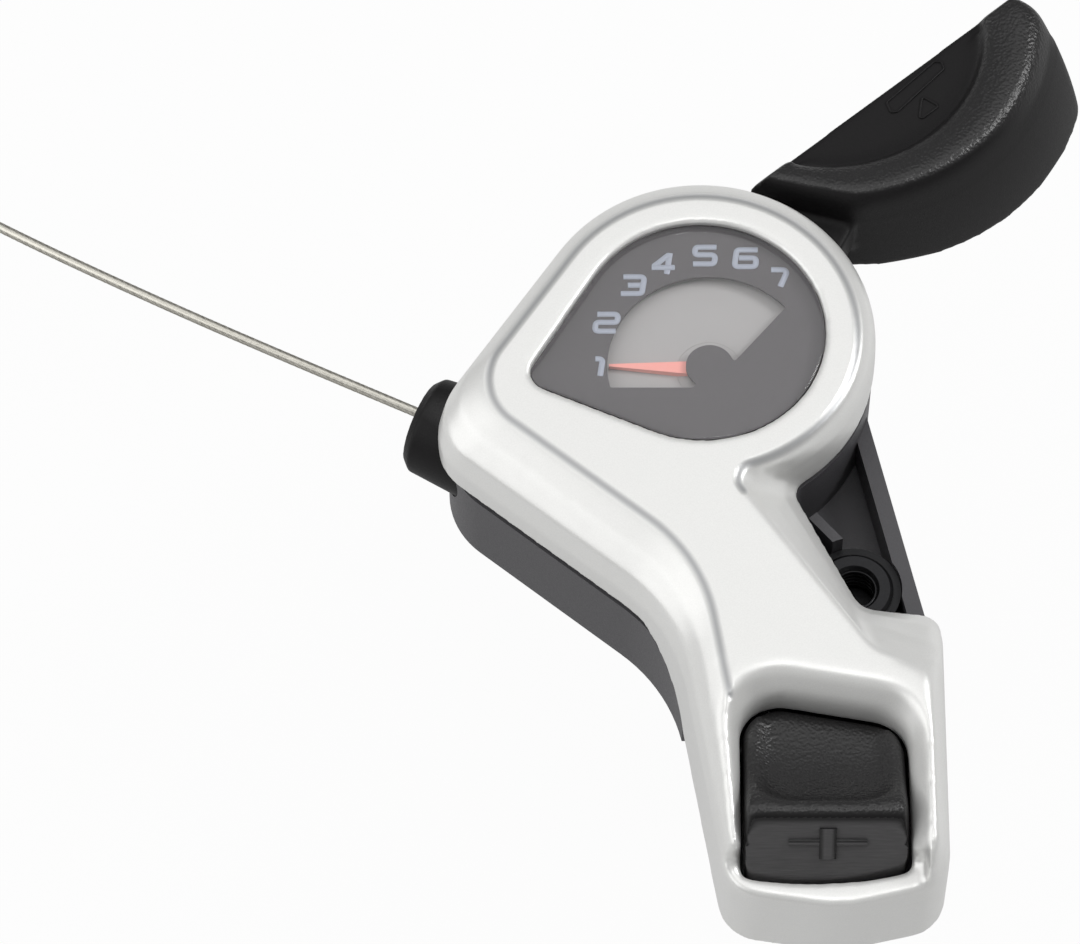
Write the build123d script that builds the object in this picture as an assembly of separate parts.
from build123d import *
from math import acos, atan2, ceil, cos, degrees, hypot, pi, radians, sin, sqrt, tan
import os

# Thumb gear shifter that sits above a handlebar.
# Row frame: origin in the middle of the clamp's bore, +X along the bar, +Y forward, +Z up.
# The pod on top is drawn in its own frame: origin on the dial axis at the bezel's face,
# u to the right, v forward. POD then places it on the clamp.

# Handlebar clamp
BAR_R = 11.1
CLAMP_WALL = 3.0
CLAMP_WIDTH = 14.0
CLAMP_SPLIT = 2.4
BAR_TO_CASE = 3.5
FLANGE_T = 2.2
FLANGE_FRONT = 21.0
BOLT_Y = -15.6
BOLT_R = 2.5
BOLT_HEAD_R = 4.25
BOLT_HEAD_H = 5.0
HEX_KEY = 4.0
EAR_DEPTH = 10.2
COLUMN_R = 5.4
NUT_R = 4.5
NUT_DEPTH = 9.0
NUT_TOP = -14.0
BOLT_TIP = -18.5
WASHER_T = 1.0
FLANGE_SCREW_R = 1.4
FLANGE_SCREW_EDGE = 3.0
FLANGE_SCREW_Y = 17.6
CLAMP_TO_CASE = 0.1

# Pod placement
POD_TURN = -13.0
DIAL_X = -11.25
DIAL_Y = 9.78

# Levels of the pod, measured down from the bezel's face
PART_Z = -9.0
LEG_LOW = -18.0
CASE_BOTTOM = -22.0
FLOOR_T = 2.5
TONGUE_T = 2.2
SEAM = 0.12

# Cover outline: rim circle round the dial and the straight sides,
# each side given by the angle of its outward normal and its distance
RIM_U, RIM_V, RIM_R = -0.72, 5.1, 20.1
CREASE_U, CREASE_V, CREASE_R = -0.92, 3.9, 18.0
NOSE_TURN = 146.0
NOSE_R = 7.0
CASE_NOSE_R = 10.0
LEFT_TURN, LEFT_DIST = 231.0, 27.34
BEND_R = 20.0
LEG_TURN, LEG_DIST = 189.7, 9.7
FRONT_LEFT_TURN, FRONT_LEFT_DIST = 260.9, 63.22
FRONT_RIGHT_TURN, FRONT_RIGHT_DIST = 282.9, 67.63
FRONT_R = 5.0
BOW_R = 16.0
RIGHT_DIST = 26.08
SHOULDER_TURN, SHOULDER_DIST = 84.0, -25.42
SHOULDER_R = 2.4
NOTCH_TURN, NOTCH_DIST = 26.2, 3.25
NOTCH_R = 3.0
HOLLOW_R = 2.0
# How far the crease of the flat top lies inside the rim
LEFT_BEVEL = 7.0
LEG_BEVEL = 4.2
FRONT_BEVEL = 3.0
RIGHT_BEVEL = 2.2
NOTCH_BEVEL_TURN, NOTCH_BEVEL_DIST = 35.5, -6.8
SHOULDER_BEVEL_TURN, SHOULDER_BEVEL_DIST = 62.0, -24.2
# Roundness of the shoulder between crease and wall
SIDE_POWER = 4.0
DIAL_POWER = 7.0
NOTCH_POWER = 1.2
BEVEL_STEPS = 5
COVER_WALL = 1.8
TOP_WALL = 1.9
# Where the cover's lower edge drops to the leg
DROP_START = -28.9
DROP_END = -38.9

# Guard rib in the lower case, between the works and the clamp's nut
GUARD_FAR = (11.5, -14.2)
GUARD_TURN = -49.0
GUARD_L, GUARD_T = 4.8, 1.2
GUARD_TOP = -12.0

# Window
WINDOW_U, WINDOW_V, WINDOW_R = -0.92, 4.1, 14.3
TIP_U, TIP_V, TIP_R = -18.22, -1.3, 2.4
LENS_TOP = -0.35
LENS_FLANGE = 1.2
FLANGE_DROP = 1.0
FIT = 0.1
MASK_T = 0.4
FAN_R = 11.8
FAN_HUB = 2.75
# The fan's lower edge is level, its right edge slants, and both miss the axis by a little
FAN_LOW = 2.84
FAN_TURN, FAN_SIDE = 50.0, 1.82
FAN_ROUND = 0.3
DISC_Z = -3.75
DISC_T = 0.5
DISC_HOLE = 3.8
DISC_GROW = 1.6

# Release button
BUTTON_LEFT, BUTTON_RIGHT = 2.78, 21.68
BUTTON_REAR, BUTTON_REAR_RIGHT = -40.5, -43.9
BUTTON_FRONT = -62.3
BUTTON_R = 4.6
BUTTON_GAP = 0.35
FRONT_GAP = 0.7
DISH_GROW = 2.3
DISH_DEPTH = 3.0
COLLAR_GROW = 1.2
COLLAR_LOW = -6.8
SILL_Z = -5.6
SILL_T = 3.2
SILL_V = -60.3
SILL_PAST = 1.7
# Inner edge of the front sill, bowed from left to right
SILL_LEFT_V, SILL_MID_V, SILL_RIGHT_V = -62.2, -62.85, -61.5
BUTTON_LOW = -11.4
BUTTON_WALL = 1.8
BUTTON_CEILING = -6.8
BUTTON_FOOT_R = 1.2
RIDGE_V, RIDGE_Z = -56.5, 0.2
BROW_DROP = 1.3
FACE_DROP = 1.3
THUMB_RIM = 2.6
THUMB_DEPTH = 1.1
PIN_V, PIN_Z = -44.9, -10.6
PIN_R = 1.5
EAR_T = 1.8
EAR_R = 3.2
ARM_U = 4.9
ARM_T = 1.6
ARM_TIP_V = -15.0
ARM_LOW, ARM_HIGH = -13.6, -10.6

# Axle, drum, ratchet and lever plate
SHAFT_R = 2.5
SHAFT_TOP = -5.2
RUN_FIT = 0.06
GEARS = 7
TEETH = 17
STEP = 360.0 / TEETH
TOOTH_TIP = 10.4
TOOTH_ROOT = 8.6
HOLD_ANGLE = 235.0
RATCHET_LOW, RATCHET_T = -13.6, 1.6
DRUM_R = 10.2
WIRE_R = 0.6
WRAP_R = 7.85
GROOVE_Z = -16.2
GROOVE_W = 1.9
HEAD_R = 2.0
HEAD_L = 4.0
TUBE_R = 4.5
TUBE_TOP = -3.9
TUBE_BORE = 3.6
CLIP_Z = -6.9
CLIP_T = 0.8
NEEDLE_Z = -3.1
NEEDLE_T = 0.6
NEEDLE_L = 11.6
NEEDLE_TIP, NEEDLE_ROOT = 0.15, 1.0
NEEDLE_TURN = 178.0
PLATE_LOW, PLATE_T = -11.8, 1.6
PLATE_HALF = 4.2
PLATE_SEAT = 2.7
PLATE_RING = 7.8
PAWL_ANGLE = 94.0
PAWL_RADIUS = 15.0
PAWL_PIN_R = 1.25
PAWL_BOSS = 2.3
PAWL_LIFT = 16.0

# Thumb lever, in its own run s along the arm and q towards the rider
LEVER_TURN = 40.0
LEVER_ROOT_U, LEVER_ROOT_V = 7.78, 26.1
LEVER_TOP, LEVER_LOW = -4.0, -19.5
LEVER_FAR = -2.5
FAR_LEAN = 0.42
LEVER_HEEL = -1.4
CREASE_S, CREASE_Q = 5.8, 8.1
RIDGE_BELLY_S, RIDGE_BELLY_Q = 21.0, 11.9
FOOT_BELLY_S, FOOT_BELLY_Q = 26.0, 15.3
RIDGE_END_S, RIDGE_END_Q = 39.2, 3.2
FOOT_END_S, FOOT_END_Q = 40.6, 10.4
RIDGE_NOSE_S, RIDGE_NOSE_Q = 40.2, 0.2
FOOT_NOSE_S, FOOT_NOSE_Q = 42.1, 4.0
LEVER_TIP_S = 38.2
FACE_BULGE = 0.62
RIDGE_R = 1.7
SCOOP_S, SCOOP_Q, SCOOP_R = 19.4, -12.9, 19.0
SCOOP_FLOOR = -7.5
BAND_DROP = 1.3
BAND_WIDTH = 4.2
LEVER_SKIN = 3.0
HOLLOW_START = 6.0
HOLLOW_END = 4.5
HOLLOW_ROOF = 2.6
NECK_LOW, NECK_HIGH = -15.0, -9.5
NECK_TURN = 63.0
NECK_INNER = 16.5
NECK_SKIN = 0.8
NECK_INTO = 2.9
LEVER_CLEAR = 25.6
SLOT_START, SLOT_END = 36.0, 126.0

# Springs
RETURN_WIRE = 0.9
RETURN_R = 5.8
STRIP_T = 0.4
STRIP_H = 1.7
STRIP_TOP = -4.9
STRIP_OUT = 11.5
STRIP_TURNS = 3.5
PAWL_WIRE = 0.5
BUTTON_WIRE = 0.8
BUTTON_COIL = 2.7
LEAF_T = 0.6
LEAF_H = 1.4

# Cable stop and wire
STOP_U, STOP_V, STOP_Z = -33.42, -1.1, -12.9
STOP_TURN = 154.8
STOP_LENGTH = 11.0
STOP_ROOT_R, STOP_TIP_R = 6.4, 5.8
STOP_FLANGE_R, STOP_FLANGE_T = 7.0, 1.4
STOP_SHOW = 7.6
SOCKET_R, SOCKET_DEPTH = 2.6, 5.5
WIRE_HOLE_R = 1.3
COIL_IN, COIL_OUT, COIL_WIDTH = 9.15, 15.3, 7.4
TIE_T, TIE_W = 0.8, 3.0

# Cover screws
SCREW_R = 1.25
SCREW_HEAD_R = 2.4
SCREW_HEAD_H = 1.4
SCREW_LENGTH = 9.0
BOSS_R = 2.7

# Values that follow from the ones above
FLOOR_Z = CASE_BOTTOM + FLOOR_T
POD_Z = BAR_R + BAR_TO_CASE - CASE_BOTTOM
POD = Location((DIAL_X, DIAL_Y, POD_Z), (0, 0, POD_TURN))
LENS_BASE = -TOP_WALL - 0.05
FLANGE_SCREW_X = CLAMP_WIDTH / 2 - FLANGE_SCREW_EDGE
BASE_INSET = 0.15
BASE_WALL = 1.9


def polar(radius, angle, u=0.0, v=0.0):
    return (u + radius * cos(radians(angle)), v + radius * sin(radians(angle)))


def mix(a, b, share):
    return a + (b - a) * share


def crossing(turn1, dist1, turn2, dist2):
    """Meeting point of two lines, each an outward normal's angle and a distance."""
    a1, b1 = polar(1, turn1)
    a2, b2 = polar(1, turn2)
    det = a1 * b2 - a2 * b1
    return ((dist1 * b2 - dist2 * b1) / det, (a1 * dist2 - a2 * dist1) / det)


def slab(face, low, high):
    """A flat face drawn at height zero, made solid between two heights."""
    return extrude(Pos(0, 0, low) * face, high - low, dir=(0, 0, 1))


def rod(radius, low, high, u=0.0, v=0.0):
    return Pos(u, v, low) * Cylinder(radius, high - low, align=(Align.CENTER, Align.CENTER, Align.MIN))


def pipe(outer, inner, low, high, u=0.0, v=0.0):
    return rod(outer, low, high, u, v) - rod(inner, low - 1, high + 1, u, v)


def block(u0, u1, v0, v1, z0, z1):
    return Pos((u0 + u1) / 2, (v0 + v1) / 2, (z0 + z1) / 2) * Box(u1 - u0, v1 - v0, z1 - z0)


def to_pod(x, y):
    """A point of the row frame, in the pod's u and v."""
    turn = radians(POD_TURN)
    dx, dy = x - DIAL_X, y - DIAL_Y
    return (dx * cos(turn) + dy * sin(turn), -dx * sin(turn) + dy * cos(turn))


def outline(side=0.0, dial=0.0, notch=0.0, inset=0.0, nose_r=NOSE_R):
    """Plan of the cover. The three shares go from the rim (0) to the crease (1)."""
    cu, cv = mix(RIM_U, CREASE_U, dial), mix(RIM_V, CREASE_V, dial)
    cr = mix(RIM_R, CREASE_R, dial) - inset
    nu, nv = polar(1, NOSE_TURN)
    nose = (NOSE_TURN, nu * cu + nv * cv + cr)
    left = (LEFT_TURN, LEFT_DIST - LEFT_BEVEL * side - inset)
    leg = (LEG_TURN, LEG_DIST - LEG_BEVEL * side - inset)
    front_left = (FRONT_LEFT_TURN, FRONT_LEFT_DIST - FRONT_BEVEL * side - inset)
    front_right = (FRONT_RIGHT_TURN, FRONT_RIGHT_DIST - FRONT_BEVEL * side - inset)
    right = (0.0, RIGHT_DIST - RIGHT_BEVEL * side - inset)
    shoulder = (
        mix(SHOULDER_TURN, SHOULDER_BEVEL_TURN, notch),
        mix(SHOULDER_DIST, SHOULDER_BEVEL_DIST, notch) - inset,
    )
    hollow = (
        mix(NOTCH_TURN, NOTCH_BEVEL_TURN, notch),
        mix(NOTCH_DIST, NOTCH_BEVEL_DIST, notch) - inset,
    )
    # The notch runs into the dial's circle through a small hollow arc
    small = HOLLOW_R + inset
    hu, hv = polar(1, hollow[0])
    reach = hollow[1] + small - (hu * cu + hv * cv)
    along = sqrt((cr + small) ** 2 - reach**2)
    au, av = cu + hu * reach + hv * along, cv + hv * reach - hu * along
    on_notch = (au - hu * small, av - hv * small)
    toward = degrees(atan2(av - cv, au - cu))
    on_dial = polar(cr, toward, cu, cv)
    tangent = polar(cr, NOSE_TURN, cu, cv)
    middle = (hollow[0] + 180 + toward + 180) / 2
    convex = max(FRONT_R * mix(1, 0.6, side) - inset, 0.8)
    path = FilletPolyline(
        tangent,
        crossing(*nose, *left),
        crossing(*left, *leg),
        crossing(*leg, *front_left),
        crossing(*front_left, *front_right),
        crossing(*front_right, *right),
        crossing(*right, *shoulder),
        crossing(*shoulder, *hollow),
        on_notch,
        radius=[
            max(nose_r - inset, 0.8),
            BEND_R - inset,
            convex,
            BOW_R - inset,
            convex,
            max(SHOULDER_R - inset / 2, 0.6),
            NOTCH_R + inset,
        ],
    )
    corner = ThreePointArc(on_notch, polar(small, middle, au, av), on_dial)
    round_side = ThreePointArc(on_dial, polar(cr, (toward + NOSE_TURN) / 2, cu, cv), tangent)
    return make_face(path.edges() + corner.edges() + round_side.edges())


def cover_block(inset, drop, low):
    """The cover's outside (inset 0), or the same shape shrunk for its hollow."""
    faces = []
    for k in range(BEVEL_STEPS + 1):
        z = PART_Z * (k / BEVEL_STEPS) ** 2
        share = 1 - z / PART_Z
        face = outline(share**SIDE_POWER, share**DIAL_POWER, share**NOTCH_POWER, inset)
        faces.append(Pos(0, 0, z - drop) * face)
    faces.append(Pos(0, 0, low) * outline(inset=inset))
    return loft(faces, ruled=True)


def below_seam(gap):
    """Everything under the cover's lower edge, as a side view drawn right across the pod."""
    high, low = PART_Z - gap, LEG_LOW - gap
    side = Polyline(
        (60, high), (DROP_START, high), (DROP_END, low), (-90, low), (-90, -60), (60, -60), close=True
    )
    return extrude(Plane.YZ.offset(-60) * make_face(side.edges()), 120)


def teardrop(grow):
    rounds = Pos(WINDOW_U, WINDOW_V) * Circle(WINDOW_R + grow) + Pos(TIP_U, TIP_V) * Circle(TIP_R + grow)
    return make_hull(rounds.edges())


def button_plan(grow, front):
    """Arched outline of the button, larger by grow, with its own front edge."""
    turn = atan2(BUTTON_REAR_RIGHT - BUTTON_REAR, BUTTON_RIGHT - BUTTON_LEFT)
    rise = grow / cos(turn)
    left, right = BUTTON_LEFT - grow, BUTTON_RIGHT + grow
    rear_left = BUTTON_REAR + rise - grow * tan(turn)
    rear_right = BUTTON_REAR_RIGHT + rise + grow * tan(turn)
    corners = [(left, front), (right, front), (right, rear_right), (left, rear_left)]
    radius = max(BUTTON_R + grow, 0.8)
    face = make_face(Polyline(*corners, close=True).edges())
    rear = face.vertices().sort_by(Axis.Y)[-2:]
    return fillet(rear, radius)


def front_zone(gap):
    """Everything ahead of the front sill's inner edge, which is moved back by gap."""
    left, right = BUTTON_LEFT, BUTTON_RIGHT
    mid = (left + right) / 2
    bow = ThreePointArc(
        (left, SILL_LEFT_V + gap), (mid, SILL_MID_V + gap), (right, SILL_RIGHT_V + gap)
    )
    far = 2 * SILL_MID_V
    rest = Polyline(
        (right, SILL_RIGHT_V + gap), (60, SILL_RIGHT_V + gap), (60, far), (-60, far),
        (-60, SILL_LEFT_V + gap), (left, SILL_LEFT_V + gap),
    )
    return make_face(bow.edges() + rest.edges())


def stop_axis(reach):
    """A point on the cable stop's axis, reach millimetres in from its mouth."""
    du, dv = polar(reach, STOP_TURN)
    return (STOP_U - du, STOP_V - dv, STOP_Z)


def stop_plane(reach):
    du, dv = polar(1, STOP_TURN)
    return Plane(origin=stop_axis(reach), x_dir=(0, 0, 1), z_dir=(-du, -dv, 0))


def screw_places():
    return [(-14.7, -15.9), (-2.2, -27.9), (11.8, -32.9)]


def top_cover():
    outside = cover_block(0, 0, LEG_LOW)
    shell = outside - cover_block(COVER_WALL, TOP_WALL, LEG_LOW - 1)
    under = cover_block(COVER_WALL / 2, TOP_WALL / 2, FLOOR_Z)
    for u, v in screw_places():
        shell += rod(BOSS_R, FLOOR_Z + FIT, 0, u, v) & under
    # Thicker collar round the button, so that its border can be dished
    collar = slab(button_plan(DISH_GROW + COLLAR_GROW, BUTTON_FRONT), COLLAR_LOW, 0)
    shell += collar & outside
    shell += slab(front_zone(0), SILL_Z - SILL_T, SILL_Z) & outside
    trim = below_seam(0)
    for u, v in screw_places():
        trim -= rod(BOSS_R, FLOOR_Z + FIT, 0, u, v)
    shell -= trim
    # Window, with a step under it for the lens's flange
    shell -= slab(teardrop(0), -20, 1)
    shell -= slab(teardrop(LENS_FLANGE + FIT), LENS_TOP - FLANGE_DROP, LENS_TOP - FLANGE_DROP - 3)
    # Button opening, dished border and low front sill
    ahead = BUTTON_FRONT - 9
    shell -= slab(button_plan(0, ahead) - front_zone(0), LEG_LOW - 1, -LEG_LOW)
    rim = Pos(0, 0, 0.01) * button_plan(DISH_GROW, ahead)
    foot = Pos(0, 0, -DISH_DEPTH) * button_plan(0.05, ahead)
    border = loft([rim, foot], ruled=True)
    shell -= border & block(-60, 60, SILL_V, 0, -40, 5)
    shell -= block(BUTTON_LEFT - SILL_PAST, BUTTON_RIGHT + SILL_PAST, -90, SILL_V, SILL_Z, 5)
    # Hole for the cable stop
    shell -= stop_plane(-2) * Cylinder(
        STOP_ROOT_R + FIT, 2 + STOP_LENGTH, align=(Align.CENTER, Align.CENTER, Align.MIN)
    )
    for u, v in screw_places():
        shell -= rod(SCREW_R, FLOOR_Z, FLOOR_Z + SCREW_LENGTH, u, v)
    return shell


def case_plan(inset):
    """Plan of the lower case: the cover's, with the notch closed by a wall along the clamp."""
    edge = CLAMP_WIDTH / 2 + CLAMP_TO_CASE
    a = to_pod(edge - inset, DIAL_Y + 1)
    b = to_pod(edge - inset, BOLT_Y - 7)
    patch = Polyline(a, b, (RIGHT_DIST - 3, -33), (4, -25), (4, 0), close=True)
    return outline(inset=inset, nose_r=CASE_NOSE_R) + make_face(patch.edges())


def base_case():
    behind = block(-60, 60, DROP_END + 1, 60, -60, 60)
    tray = slab(case_plan(BASE_INSET), CASE_BOTTOM, FLOOR_Z)
    ring = slab(outline(inset=BASE_INSET, nose_r=CASE_NOSE_R), FLOOR_Z, PART_Z) - slab(
        outline(inset=BASE_INSET + BASE_WALL, nose_r=CASE_NOSE_R), FLOOR_Z - 1, 0
    )
    lip = slab(outline(inset=0), PART_Z - 0.9, 0) - slab(outline(inset=0.8), PART_Z - 1, 0)
    side = slab(case_plan(BASE_INSET) - case_plan(BASE_INSET + BASE_WALL), FLOOR_Z, NUT_TOP)
    swing = Sketch() + make_face(
        Polyline((0, 0), polar(60, SLOT_START), polar(60, (SLOT_START + SLOT_END) / 2),
                 polar(60, SLOT_END), close=True).edges()
    )
    slot = slab(swing, NECK_LOW - 0.6, 0)
    case = tray + (((ring + side) & below_seam(SEAM)) - slot - lip)
    case = case & behind
    rib = Pos(*GUARD_FAR) * Rot(0, 0, GUARD_TURN) * Rectangle(GUARD_L, GUARD_T, align=(Align.MIN, Align.MIN))
    case += slab(rib, FLOOR_Z - 0.5, GUARD_TOP)
    # Shallow tongue under the leg, with ears for the button's pin
    ahead = block(-60, 60, -90, DROP_END + 3, -60, 60)
    tongue = slab(outline(inset=COVER_WALL + 0.4), LEG_LOW, LEG_LOW + TONGUE_T) & ahead
    heel = slab(outline(inset=COVER_WALL + 0.4), CASE_BOTTOM, LEG_LOW + TONGUE_T)
    case += tongue
    case += heel & block(-60, 60, DROP_END + 1, DROP_END + 3, -60, 60)
    for u in pin_ears():
        ear = block(u, u + EAR_T, PIN_V - EAR_R, PIN_V + EAR_R, LEG_LOW + 0.5, PIN_Z)
        ear += Pos(u, PIN_V, PIN_Z) * Rot(0, 90, 0) * Cylinder(
            EAR_R, EAR_T, align=(Align.CENTER, Align.CENTER, Align.MIN)
        )
        case += ear
    case -= Pos(0, PIN_V, PIN_Z) * Rot(0, 90, 0) * Cylinder(PIN_R, 120)
    # Holes for the shaft, nut column, stop and screws, and the leaf's post
    case -= rod(SHAFT_R, CASE_BOTTOM - 1, 0)
    column = to_pod(0, BOLT_Y)
    case -= rod(COLUMN_R + FIT, CASE_BOTTOM - 1, 0, *column)
    case += leaf_post()
    case -= stop_plane(-2) * Cylinder(
        STOP_ROOT_R + FIT, 2 + STOP_LENGTH, align=(Align.CENTER, Align.CENTER, Align.MIN)
    )
    case -= stop_plane(STOP_SHOW + 1.9) * Cylinder(
        STOP_FLANGE_R + FIT, 6, align=(Align.CENTER, Align.CENTER, Align.MIN)
    )
    for u, v in screw_places():
        case -= rod(SCREW_R + FIT, CASE_BOTTOM - 1, 0, u, v)
        case -= rod(SCREW_HEAD_R + FIT, CASE_BOTTOM - 1, CASE_BOTTOM + SCREW_HEAD_H, u, v)
    for x in (-FLANGE_SCREW_X, FLANGE_SCREW_X):
        case -= rod(FLANGE_SCREW_R, CASE_BOTTOM - 1, FLOOR_Z - 0.5, *to_pod(x, FLANGE_SCREW_Y))
    return case


def pin_ears():
    """Where the two ears for the button's pin begin, left and right of the button."""
    return [BUTTON_LEFT - 0.3 - EAR_T, BUTTON_RIGHT + 0.1]


def bar_clamp():
    """Row frame: split ring, flange under the case, ear and the column that holds the nut."""
    outer = BAR_R + CLAMP_WALL
    case_z = BAR_R + BAR_TO_CASE
    half = CLAMP_WIDTH / 2
    side = Plane.YZ.offset(-half)
    body = extrude(side * Circle(outer), CLAMP_WIDTH)
    body += block(-half, half, -outer, FLANGE_FRONT, case_z - FLANGE_T, case_z)
    ear_back = BOLT_Y - COLUMN_R
    body += block(-COLUMN_R, COLUMN_R, BOLT_Y, 0, -EAR_DEPTH, case_z - FLANGE_T)
    body += rod(COLUMN_R, -EAR_DEPTH, POD_Z + NUT_TOP - 0.6, 0, BOLT_Y)
    body -= extrude(side * Circle(BAR_R), CLAMP_WIDTH)
    body -= block(-60, 60, ear_back - 1, 0, -CLAMP_SPLIT / 2, CLAMP_SPLIT / 2)
    body -= rod(BOLT_R + 0.15, -60, 60, 0, BOLT_Y)
    body -= rod(NUT_R, POD_Z + NUT_TOP - NUT_DEPTH, 60, 0, BOLT_Y)
    for x in (-FLANGE_SCREW_X, FLANGE_SCREW_X):
        body -= rod(FLANGE_SCREW_R + FIT, 0, 60, x, FLANGE_SCREW_Y)
    return body


def clamp_nut():
    top = POD_Z + NUT_TOP
    sleeve = pipe(NUT_R, BOLT_R, top - NUT_DEPTH, top, 0, BOLT_Y)
    sleeve = chamfer(sleeve.faces().sort_by(Axis.Z)[-1].edges(), 0.4)
    return sleeve


def clamp_bolt():
    seat = -EAR_DEPTH - WASHER_T
    bolt = rod(BOLT_HEAD_R, seat - BOLT_HEAD_H, seat, 0, BOLT_Y)
    bolt = chamfer(bolt.edges().sort_by(Axis.Z)[0], 0.5)
    bolt += rod(BOLT_R, seat, POD_Z + BOLT_TIP, 0, BOLT_Y)
    key = RegularPolygon(HEX_KEY / 2, 6, major_radius=False)
    bolt -= slab(Pos(0, BOLT_Y) * key, seat - BOLT_HEAD_H - 1, seat - BOLT_HEAD_H / 2)
    return bolt


def clamp_washer():
    return pipe(BOLT_HEAD_R + 0.6, BOLT_R + 0.15, -EAR_DEPTH - WASHER_T, -EAR_DEPTH, 0, BOLT_Y)


def clamp_screws():
    top = BAR_R + BAR_TO_CASE
    group = []
    for x in (-FLANGE_SCREW_X, FLANGE_SCREW_X):
        screw = rod(FLANGE_SCREW_R, top - FLANGE_T, top + FLOOR_T - 0.6, x, FLANGE_SCREW_Y)
        screw += rod(2 * FLANGE_SCREW_R, top - FLANGE_T - 1.4, top - FLANGE_T, x, FLANGE_SCREW_Y)
        screw -= block(x - 3, x + 3, FLANGE_SCREW_Y - 0.4, FLANGE_SCREW_Y + 0.4, 0, top - FLANGE_T - 0.8)
        group.append(screw)
    return Compound(group)


def cover_screws():
    group = []
    for u, v in screw_places():
        screw = rod(SCREW_HEAD_R, CASE_BOTTOM, CASE_BOTTOM + SCREW_HEAD_H, u, v)
        screw += rod(SCREW_R, CASE_BOTTOM, FLOOR_Z + SCREW_LENGTH - 0.4, u, v)
        screw -= block(u - 0.4, u + 0.4, v - 1.7, v + 1.7, CASE_BOTTOM - 1, CASE_BOTTOM + 0.7)
        screw -= block(u - 1.7, u + 1.7, v - 0.4, v + 0.4, CASE_BOTTOM - 1, CASE_BOTTOM + 0.7)
        group.append(screw)
    return Compound(group)


def indicator_lens():
    step = LENS_TOP - FLANGE_DROP
    lens = slab(teardrop(-FIT), step, LENS_TOP)
    lens = fillet(lens.faces().sort_by(Axis.Z)[-1].edges(), 0.3)
    return lens + slab(teardrop(LENS_FLANGE), LENS_BASE, step)


def dial_mask():
    """Printed mask under the lens, with the fan that shows the needle."""
    far = 3 * FAN_R
    foot = polar(FAN_SIDE, FAN_TURN - 90)
    out = polar(far, FAN_TURN, *foot)
    corners = [(-far, -FAN_LOW), (-FAN_HUB * 0.73, -FAN_LOW), (0, 0), foot, out, (0, far), (-far, far)]
    wedge = make_face(Polyline(*corners, close=True).edges())
    fan = (Circle(FAN_R) - Circle(FAN_HUB)) & wedge
    fan = fillet(fan.vertices(), FAN_ROUND)
    return slab(teardrop(LENS_FLANGE) - fan, LENS_BASE - MASK_T, LENS_BASE)


def dial_disc():
    """Pale disc behind the needle, held off the mask by its own raised border."""
    disc = slab(teardrop(DISC_GROW), DISC_Z, DISC_Z + DISC_T)
    disc -= rod(DISC_HOLE, -20, 0)
    border = slab(teardrop(DISC_GROW) - teardrop(DISC_GROW - 1.2), DISC_Z, LENS_BASE - MASK_T)
    return disc + border


def main_shaft():
    shaft = rod(SHAFT_R, CASE_BOTTOM + 0.4, SHAFT_TOP)
    shaft -= pipe(SHAFT_R + 1, SHAFT_R - 0.5, CLIP_Z, CLIP_Z + CLIP_T)
    return chamfer(shaft.edges().sort_by(Axis.Z)[-1], 0.4)


def shaft_clip():
    clip = pipe(TUBE_BORE - 0.3, SHAFT_R - 0.5, CLIP_Z, CLIP_Z + CLIP_T)
    return clip - block(0, 9, -1.6, 1.6, -20, 0)


def tooth_phase():
    """Angle of one tooth face, so that a gap lies under the index leaf at rest."""
    return HOLD_ANGLE + 3.0


def ratchet_wheel():
    points = []
    for k in range(TEETH):
        face = tooth_phase() + k * STEP
        points += [polar(TOOTH_ROOT, face - 0.4), polar(TOOTH_TIP, face), polar(TOOTH_TIP, face + 2.5)]
    wheel = make_face(Polyline(*points, close=True).edges()) - Circle(TUBE_R + 1.5)
    return slab(wheel, RATCHET_LOW, RATCHET_LOW + RATCHET_T)


def wire_tangent():
    """Angle on the drum where the wire leaves towards the stop."""
    gu, gv, _ = stop_axis(STOP_LENGTH)
    return degrees(atan2(gv, gu)) % 360 + degrees(acos(WRAP_R / hypot(gu, gv)))


def head_angle():
    """Angle of the wire's head on the drum, wound on by all the gears."""
    return wire_tangent() + (GEARS - 1) * STEP + 16.0


def cable_drum():
    low = FLOOR_Z + 0.2
    drum = rod(DRUM_R, low, RATCHET_LOW)
    groove = pipe(DRUM_R + 5, WRAP_R - WIRE_R - 0.1, GROOVE_Z - GROOVE_W / 2, GROOVE_Z + GROOVE_W / 2)
    drum -= groove
    drum += rod(TUBE_R + 1.5, RATCHET_LOW, RATCHET_LOW + RATCHET_T)
    drum += rod(TUBE_R, RATCHET_LOW, TUBE_TOP)
    drum -= rod(SHAFT_R + RUN_FIT, -30, 0)
    drum -= rod(TUBE_BORE, CLIP_Z - 0.1, 0)
    # Pocket for the wire's head, open to the rim
    pocket = head_plane() * Cylinder(HEAD_R + FIT, HEAD_L + 2 * FIT)
    drum -= pocket
    return drum


def head_plane():
    spot = polar(WRAP_R, head_angle())
    along = polar(1, head_angle() + 90)
    return Plane(origin=(*spot, GROOVE_Z), x_dir=(0, 0, 1), z_dir=(*along, 0))


def cable_head():
    head = head_plane() * Cylinder(HEAD_R, HEAD_L)
    return head


def indicator_needle():
    """Plug that closes the drum's tube, with a tapered hand over the pale disc."""
    hub = rod(TUBE_BORE - 0.02, SHAFT_TOP + 0.2, NEEDLE_Z + 0.1)
    corners = [(0, NEEDLE_ROOT), (NEEDLE_L, NEEDLE_TIP), (NEEDLE_L, -NEEDLE_TIP), (0, -NEEDLE_ROOT)]
    hand = Rot(0, 0, NEEDLE_TURN) * make_face(Polyline(*corners, close=True).edges())
    return hub + slab(hand, NEEDLE_Z, NEEDLE_Z + NEEDLE_T)


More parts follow.
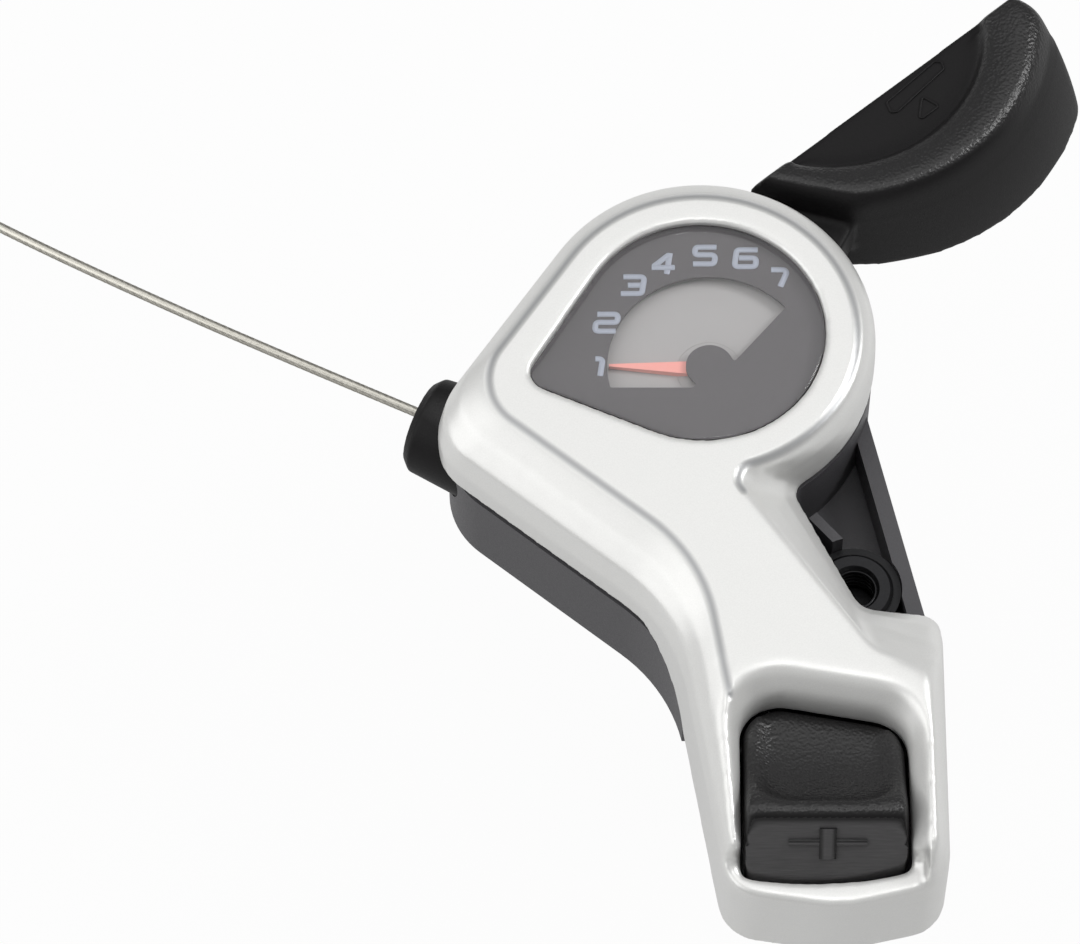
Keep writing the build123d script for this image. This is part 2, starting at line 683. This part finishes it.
def lever_place(s, q):
    """A point of the lever's own run, in the pod's u and v."""
    a, b = polar(1, LEVER_TURN)
    return (LEVER_ROOT_U + a * s + b * q, LEVER_ROOT_V + b * s - a * q)


def lever_plan(share):
    """Plan of the thumb piece between its ridge (0) and its foot (1)."""
    heel = lever_place(LEVER_HEEL, LEVER_FAR)
    crease = lever_place(CREASE_S, CREASE_Q)
    belly = lever_place(mix(RIDGE_BELLY_S, FOOT_BELLY_S, share), mix(RIDGE_BELLY_Q, FOOT_BELLY_Q, share))
    end = lever_place(mix(RIDGE_END_S, FOOT_END_S, share), mix(RIDGE_END_Q, FOOT_END_Q, share))
    nose = lever_place(mix(RIDGE_NOSE_S, FOOT_NOSE_S, share), mix(RIDGE_NOSE_Q, FOOT_NOSE_Q, share))
    tip = lever_place(LEVER_TIP_S, LEVER_FAR)
    side = ThreePointArc(crease, belly, end)
    back = polar(1, LEVER_TURN + 180)
    cap = Spline(end, nose, tip, tangents=[side % 1, (back[0], back[1], 0)])
    edges = side.edges() + cap.edges() + Line(tip, heel).edges() + Line(heel, crease).edges()
    return make_face(edges)


def strip_plan(start, end, half):
    """A straight strip that points from the dial axis to the lever's root."""
    return Rot(0, 0, NECK_TURN) * Pos((start + end) / 2, 0) * Rectangle(end - start, 2 * half)


def lever_reach():
    return hypot(LEVER_ROOT_U, LEVER_ROOT_V)


def far_lean():
    """Slanted cut that leans the rim's far side in, from the scoop's floor up."""
    a, b = polar(1, LEVER_TURN)
    face = Plane(origin=(*lever_place(2 * LEVER_TIP_S, 0), 0), x_dir=(b, -a, 0), z_dir=(-a, -b, 0))
    high = LEVER_TOP + 5
    lean = LEVER_FAR + FAR_LEAN * (high - SCOOP_FLOOR)
    corners = [(LEVER_FAR, SCOOP_FLOOR), (lean, high), (LEVER_FAR - 9, high), (LEVER_FAR - 9, SCOOP_FLOOR)]
    return extrude(face * make_face(Polyline(*corners, close=True).edges()), 4 * LEVER_TIP_S)


def thumb_lever():
    middle = mix(LEVER_TOP, LEVER_LOW, 0.5)
    levels = [(LEVER_LOW, 1.0), (middle, FACE_BULGE), (LEVER_TOP, 0.0)]
    paddle = loft([Pos(0, 0, z) * lever_plan(share) for z, share in levels])
    top = paddle.faces().sort_by(Axis.Z)[-1]
    paddle = fillet(top.edges(), RIDGE_R)
    # Band that leans in from the ridge, and the flat floor inside its edge
    spot = lever_place(SCOOP_S, SCOOP_Q)
    lean = Cone(SCOOP_R, SCOOP_R + BAND_WIDTH, BAND_DROP, align=(Align.CENTER, Align.CENTER, Align.MIN))
    paddle -= Pos(*spot, LEVER_TOP - BAND_DROP) * lean
    paddle -= rod(SCOOP_R, SCOOP_FLOOR, 5, *spot)
    # Open underside behind the face that the thumb pushes
    roof = SCOOP_FLOOR - HOLLOW_ROOF
    below = [Pos(0, 0, z) * under_plan(share) for z, share in ((LEVER_LOW - 1, 1.0), (roof, 0.4))]
    paddle -= loft(below, ruled=True)
    paddle -= far_lean()
    keep_off = rod(LEVER_CLEAR, NECK_HIGH, 5) + rod(LEVER_CLEAR, -40, NECK_LOW)
    neck = strip_plan(NECK_INNER, lever_reach() + NECK_INTO, PLATE_HALF + NECK_SKIN)
    lever = (paddle - keep_off) + slab(neck, NECK_LOW, NECK_HIGH)
    return lever - lever_plate()


def under_plan(share):
    """Plan of the hollow under the thumb piece, open on its far side."""
    belly = lever_place(
        mix(RIDGE_BELLY_S, FOOT_BELLY_S, share), mix(RIDGE_BELLY_Q, FOOT_BELLY_Q, share) - LEVER_SKIN
    )
    near = lever_place(CREASE_S + HOLLOW_START, CREASE_Q - LEVER_SKIN + 1.0)
    end = lever_place(mix(RIDGE_END_S, FOOT_END_S, share) - HOLLOW_END, HOLLOW_END)
    side = ThreePointArc(near, belly, end)
    past = 4 * LEVER_FAR
    open_side = lever_place(LEVER_TIP_S - HOLLOW_END, past), lever_place(CREASE_S + HOLLOW_START, past)
    rest = Polyline(end, *open_side, near)
    return make_face(side.edges() + rest.edges())


def lever_plate():
    ring = Circle(PLATE_RING)
    ear_spot = polar(PAWL_RADIUS, PAWL_ANGLE)
    plan = ring + strip_plan(0, lever_reach() - PLATE_SEAT, PLATE_HALF)
    plan += make_hull((Circle(PLATE_RING - 2) + Pos(*ear_spot) * Circle(PAWL_BOSS)).edges())
    plan -= Circle(TUBE_R + RUN_FIT)
    plan -= Pos(*ear_spot) * Circle(PAWL_PIN_R)
    return slab(plan, PLATE_LOW, PLATE_LOW + PLATE_T)


def pawl_pin():
    spot = polar(PAWL_RADIUS, PAWL_ANGLE)
    pin = rod(PAWL_PIN_R, RATCHET_LOW - 0.5, PLATE_LOW + PLATE_T + 0.3, *spot)
    return pin + rod(PAWL_BOSS, RATCHET_LOW - 1.1, RATCHET_LOW - 0.3, *spot)


def pawl_tip():
    """Angle of the pawl's tip when it bears on a tooth face, a little before that face."""
    first = PAWL_ANGLE + 20
    face = tooth_phase() + ceil((first - tooth_phase()) / STEP) * STEP
    return face - 2.2


def drive_pawl():
    """Strut from its pin to the teeth, drawn lifted clear of them."""
    spot = polar(PAWL_RADIUS, PAWL_ANGLE)
    tip = polar(TOOTH_ROOT + 0.7, pawl_tip())
    nib = [tip, polar(TOOTH_TIP + 0.9, pawl_tip() - 0.6), polar(TOOTH_TIP + 0.5, pawl_tip() - 11)]
    toe = polar(TOOTH_TIP + 1.6, pawl_tip() - 5)
    plan = make_hull((Pos(*spot) * Circle(PAWL_BOSS) + Pos(*toe) * Circle(1.0)).edges())
    plan += make_face(Polyline(*nib, close=True).edges())
    plan -= Pos(*spot) * Circle(PAWL_PIN_R + RUN_FIT)
    pawl = slab(plan, RATCHET_LOW + 0.1, RATCHET_LOW + RATCHET_T)
    home = Location((-spot[0], -spot[1], 0))
    return Location((*spot, 0), (0, 0, -PAWL_LIFT)) * home * pawl


def coil(wire, radius, turns, plane, legs):
    """Round-wire torsion spring about a plane's axis, with a straight leg at each end."""
    pitch = wire * 1.08
    path = Helix(pitch, pitch * turns, radius)
    start, end = path @ 0, path @ 1
    ring = sweep(Plane(origin=start, z_dir=path % 0) * Circle(wire / 2), path)
    first = Plane(origin=start, z_dir=-(path % 0)) * Cylinder(
        wire / 2, legs[0], align=(Align.CENTER, Align.CENTER, Align.MIN)
    )
    last = Plane(origin=end, z_dir=path % 1) * Cylinder(
        wire / 2, legs[1], align=(Align.CENTER, Align.CENTER, Align.MIN)
    )
    return plane * (ring + first + last)


def lever_spring():
    rest = PLATE_LOW + PLATE_T + RETURN_WIRE / 2 + 0.15
    base = Plane(origin=(0, 0, rest), x_dir=(0, 1, 0), z_dir=(0, 0, 1))
    return coil(RETURN_WIRE, RETURN_R, 1.6, base, (4.0, 6.0))


def pawl_spring():
    spot = polar(PAWL_RADIUS, PAWL_ANGLE)
    base = Plane(origin=(*spot, PLATE_LOW + PLATE_T + PAWL_WIRE / 2 + 0.15), z_dir=(0, 0, 1))
    return coil(PAWL_WIRE, PAWL_PIN_R + PAWL_WIRE / 2 + 0.1, 1.3, base, (2.5, 2.5))


def release_spring():
    base = Plane(origin=(13.0, PIN_V, PIN_Z), x_dir=(0, 1, 0), z_dir=(1, 0, 0))
    return coil(BUTTON_WIRE, BUTTON_COIL, 2.4, base, (4.0, 4.0))


def drum_spring():
    """Flat clock spring round the drum's tube."""
    low = STRIP_TOP - STRIP_H
    steps = int(STRIP_TURNS * 16)
    inner, outer = [], []
    for k in range(steps + 1):
        share = k / steps
        angle = 360 * STRIP_TURNS * share
        radius = mix(TUBE_R + 0.1, STRIP_OUT, share)
        inner.append(polar(radius, angle))
        outer.append(polar(radius + STRIP_T, angle))
    a, b = Spline(*inner), Spline(*outer)
    ends = Line(inner[0], outer[0]), Line(inner[-1], outer[-1])
    face = make_face(a.edges() + b.edges() + ends[0].edges() + ends[1].edges())
    return slab(face, low, low + STRIP_H)


def leaf_line(offset):
    """Run of the index leaf, moved out from the ratchet by offset."""
    du, dv = polar(1, HOLD_ANGLE)
    gap = TOOTH_TIP + 0.7 + offset
    su, sv = polar(1, HOLD_ANGLE - 90)
    start = (du * gap + su * 12.5, dv * gap + sv * 12.5)
    bend = (du * gap - su * 5.0, dv * gap - sv * 5.0)
    return start, bend


def leaf_post():
    start, _ = leaf_line(-0.05)
    su, sv = polar(1, HOLD_ANGLE - 90)
    du, dv = polar(1.8, HOLD_ANGLE)
    spot = (start[0] - su * 1.5 - du, start[1] - sv * 1.5 - dv)
    post = Pos(*spot, FLOOR_Z - 0.5) * Rot(0, 0, HOLD_ANGLE) * Box(
        3.6, 3.8, RATCHET_LOW + LEAF_H + 0.6 - FLOOR_Z, align=(Align.CENTER, Align.CENTER, Align.MIN)
    )
    return post - index_screw_hole()


def index_screw_line():
    start, _ = leaf_line(LEAF_T)
    su, sv = polar(1, HOLD_ANGLE - 90)
    spot = (start[0] - su * 1.5, start[1] - sv * 1.5, RATCHET_LOW + 0.8)
    return Plane(origin=spot, x_dir=(0, 0, 1), z_dir=(*polar(1, HOLD_ANGLE), 0))


def index_screw_hole():
    return index_screw_line() * Pos(0, 0, -LEAF_T - 4) * Cylinder(0.5, 10)


def index_screw():
    head = index_screw_line() * Cylinder(0.7, 0.6, align=(Align.CENTER, Align.CENTER, Align.MIN))
    shank = index_screw_line() * Cylinder(0.5, LEAF_T + 3, align=(Align.CENTER, Align.CENTER, Align.MAX))
    return head + shank


def index_spring():
    """Leaf that holds each gear: a nose in the teeth and a tab for the release arm."""
    i0, i1 = leaf_line(0)
    o0, o1 = leaf_line(LEAF_T)
    tab = (ARM_U + ARM_T, ARM_TIP_V + 0.9)
    strip = make_face(
        Polyline(i0, i1, tab, (tab[0], tab[1] - LEAF_T), (o1[0], o1[1]), o0, close=True).edges()
    )
    face = tooth_phase()
    nose = [
        polar(TOOTH_ROOT + 0.35, face - 1.6),
        polar(TOOTH_TIP + 1.0, face - 1.6),
        polar(TOOTH_TIP + 1.2, face - 9.0),
    ]
    strip += make_face(Polyline(*nose, close=True).edges())
    leaf = slab(strip, RATCHET_LOW + 0.1, RATCHET_LOW + 0.1 + LEAF_H)
    return leaf - index_screw_hole()


def button_profile(drop):
    """Side view of the button across its whole width: thumb rest, ridge and sloping front.

    The top is lowered by drop, for the dish that the thumb rests in.
    """
    rear = BUTTON_REAR + 3
    front = SILL_MID_V + FRONT_GAP
    top = -DISH_DEPTH - 0.6
    brow = (RIDGE_V - BROW_DROP, RIDGE_Z - BROW_DROP / 2 - drop)
    rise = Spline(
        (rear, top - drop),
        (mix(rear, RIDGE_V, 0.45), top - 0.3 - drop),
        (mix(rear, RIDGE_V, 0.82), mix(top, RIDGE_Z, 0.55) - drop),
        (RIDGE_V, RIDGE_Z - drop),
        brow,
    )
    edge = Polyline(
        brow, (front, SILL_Z - FACE_DROP - drop), (front, BUTTON_LOW), (rear, BUTTON_LOW), (rear, top - drop)
    )
    return make_face(edge.edges() + rise.edges())


def release_button():
    ahead = BUTTON_FRONT - 9
    plan = button_plan(-BUTTON_GAP, ahead) - front_zone(FRONT_GAP)
    plan = fillet(plan.vertices().sort_by(Axis.Y)[:2], BUTTON_FOOT_R)
    across = Plane.YZ.offset(-60)
    button = slab(plan, -30, 5) & extrude(across * button_profile(0), 120)
    # Dish for the thumb between the side rims and the ridge
    dish = block(
        BUTTON_LEFT + THUMB_RIM, BUTTON_RIGHT - THUMB_RIM, RIDGE_V + THUMB_RIM / 2, BUTTON_REAR + 5, -30, 5
    )
    dish = fillet(dish.edges().filter_by(Axis.Z).sort_by(Axis.Y)[:2], THUMB_RIM)
    button -= dish - extrude(across * button_profile(THUMB_DEPTH), 120)
    hollow = block(BUTTON_LEFT + BUTTON_WALL, BUTTON_RIGHT - BUTTON_WALL, BUTTON_FRONT + 3.2, PIN_V + 9,
                   BUTTON_LOW - 1, BUTTON_CEILING)
    button -= hollow
    button -= Pos(12, PIN_V, PIN_Z) * Rot(0, 90, 0) * Cylinder(PIN_R + RUN_FIT, 40)
    return button


def release_arm():
    """Steel arm on the button, from its pin to the index leaf's tab."""
    side = Plane.YZ.offset(ARM_U)
    plate = make_face(
        Polyline(
            (PIN_V - 4.0, BUTTON_CEILING),
            (PIN_V - 4.0, PIN_Z + 0.6),
            (PIN_V, ARM_LOW),
            (ARM_TIP_V - 1.6, ARM_LOW),
            (ARM_TIP_V, ARM_LOW + 1.2),
            (ARM_TIP_V - 1.6, ARM_HIGH),
            (PIN_V + 3.5, ARM_HIGH + 1.2),
            (PIN_V, BUTTON_CEILING),
            close=True,
        ).edges()
    )
    plate -= Pos(PIN_V, PIN_Z) * Circle(PIN_R + RUN_FIT)
    return extrude(side * plate, ARM_T)


def release_pin():
    left, right = pin_ears()
    length = right + EAR_T - left
    return Pos(left, PIN_V, PIN_Z) * Rot(0, 90, 0) * Cylinder(
        PIN_R, length, align=(Align.CENTER, Align.CENTER, Align.MIN)
    )


def cable_stop():
    """Barrel that the outer casing butts into, with a flange behind the case's wall."""
    profile = Polyline(
        (0, 0), (STOP_TIP_R - 1.0, 0), (STOP_TIP_R, 1.0), (STOP_ROOT_R, STOP_SHOW),
        (STOP_ROOT_R, STOP_SHOW + 2.0), (STOP_FLANGE_R, STOP_SHOW + 2.0),
        (STOP_FLANGE_R, STOP_SHOW + 2.0 + STOP_FLANGE_T - 0.2), (0, STOP_SHOW + 2.0 + STOP_FLANGE_T - 0.2),
        close=True,
    )
    barrel = revolve(Plane.XZ * make_face(profile.edges()), Axis.Z)
    barrel -= rod(SOCKET_R, -1, SOCKET_DEPTH)
    barrel -= rod(WIRE_HOLE_R, -1, 30)
    return stop_plane(0) * barrel


def wire_mouth():
    """Where the wire leaves the stop: it leans on the upper far side of the socket."""
    return (STOP_U, STOP_V + 0.8, STOP_Z + 0.5)


def swept_wire(edges):
    path = Wire(edges)
    start = path @ 0
    return sweep(Plane(origin=start, z_dir=path % 0) * Circle(WIRE_R), path)


def cable_wrap():
    """Wire from the drum's groove to the mouth of the stop."""
    begin = head_angle() - degrees(HEAD_L / 2 / WRAP_R) - 3
    leave = wire_tangent()
    arc = ThreePointArc(
        (*polar(WRAP_R, begin), GROOVE_Z),
        (*polar(WRAP_R, (begin + leave) / 2), GROOVE_Z),
        (*polar(WRAP_R, leave), GROOVE_Z),
    )
    at = Vector(*polar(WRAP_R, leave), GROOVE_Z)
    inner = Vector(*stop_axis(STOP_LENGTH))
    level = at + Vector(*polar(7.0, leave - 90), 0)
    run = FilletPolyline(at, level, inner, Vector(*wire_mouth()), radius=[12.0, 12.0])
    return swept_wire(arc.edges() + run.edges())


def cable_route():
    """Free wire in the pod's frame, from the stop's mouth to the top of its coil."""
    return [
        wire_mouth(),
        (-50.2, 7.5, -12.1),
        (-67.2, 16.0, -12.2),
        (-84.2, 25.3, -12.7),
        (-99.7, 35.1, -13.6),
    ]


def tube_radii(points):
    radii = []
    for a, b, c in zip(points, points[1:], points[2:]):
        before, after = Vector(*b) - Vector(*a), Vector(*c) - Vector(*b)
        half = radians(before.get_angle(after)) / 2
        radii.append(0.45 * min(before.length, after.length) / tan(half))
    return radii


def shift_cable():
    points = cable_route()
    radii = tube_radii(points)
    path = FilletPolyline(*[Vector(*p) for p in points], radius=radii)
    wire = swept_wire(path.edges())
    length = sum(e.length for e in path.edges())
    print("wire radii", [round(r) for r in radii], "length", round(length, 1))
    print("wire volume share", round(wire.volume / (pi * WIRE_R**2 * length), 4))
    return wire


def coil_plane():
    """Axis of the coil: level, across the wire's last run, with that run on its first turn."""
    *_, before, end = cable_route()
    run = Vector(end[0] - before[0], end[1] - before[1], 0).normalized()
    across = run.cross(Vector(0, 0, 1))
    centre = Vector(*end) - Vector(0, 0, COIL_OUT - WIRE_R) - across * (COIL_WIDTH / 2 - WIRE_R)
    return Plane(origin=centre, x_dir=run, z_dir=across)


def cable_coil():
    ring = rod(COIL_OUT, -COIL_WIDTH / 2, COIL_WIDTH / 2) - rod(COIL_IN, -COIL_WIDTH, COIL_WIDTH)
    ring = chamfer(ring.edges(), 1.0)
    return coil_plane() * ring


def coil_tie():
    """Flat tie round the bundle at its lowest point."""
    inside = Pos((COIL_IN + COIL_OUT) / 2, 0, 0) * Box(COIL_OUT - COIL_IN + 0.8, 20, COIL_WIDTH + 0.6)
    outside = Pos((COIL_IN + COIL_OUT) / 2, 0, 0) * Box(
        COIL_OUT - COIL_IN + 0.8 + 2 * TIE_T, TIE_W, COIL_WIDTH + 0.6 + 2 * TIE_T
    )
    outside = fillet(outside.edges().filter_by(Axis.Y), 0.7)
    spin = -90 if coil_plane().y_dir.Z > 0 else 90
    return coil_plane() * Rot(0, 0, spin) * (outside - inside)


ROW_PARTS = [bar_clamp, clamp_nut, clamp_bolt, clamp_washer, clamp_screws]
POD_PARTS = [
    top_cover, base_case, cover_screws, indicator_lens, dial_mask, dial_disc,
    main_shaft, shaft_clip, index_spring, index_screw, release_pin,
    cable_stop, cable_wrap, lever_spring, drum_spring, release_spring,
    thumb_lever, lever_plate, pawl_pin, pawl_spring, drive_pawl,
    cable_drum, ratchet_wheel, indicator_needle, cable_head,
    release_button, release_arm,
    shift_cable, cable_coil, coil_tie,
]

os.makedirs("parts", exist_ok=True)
for make in ROW_PARTS:
    export_step(make(), f"parts/{make.__name__}.step")
for make in POD_PARTS:
    export_step(POD * make(), f"parts/{make.__name__}.step")
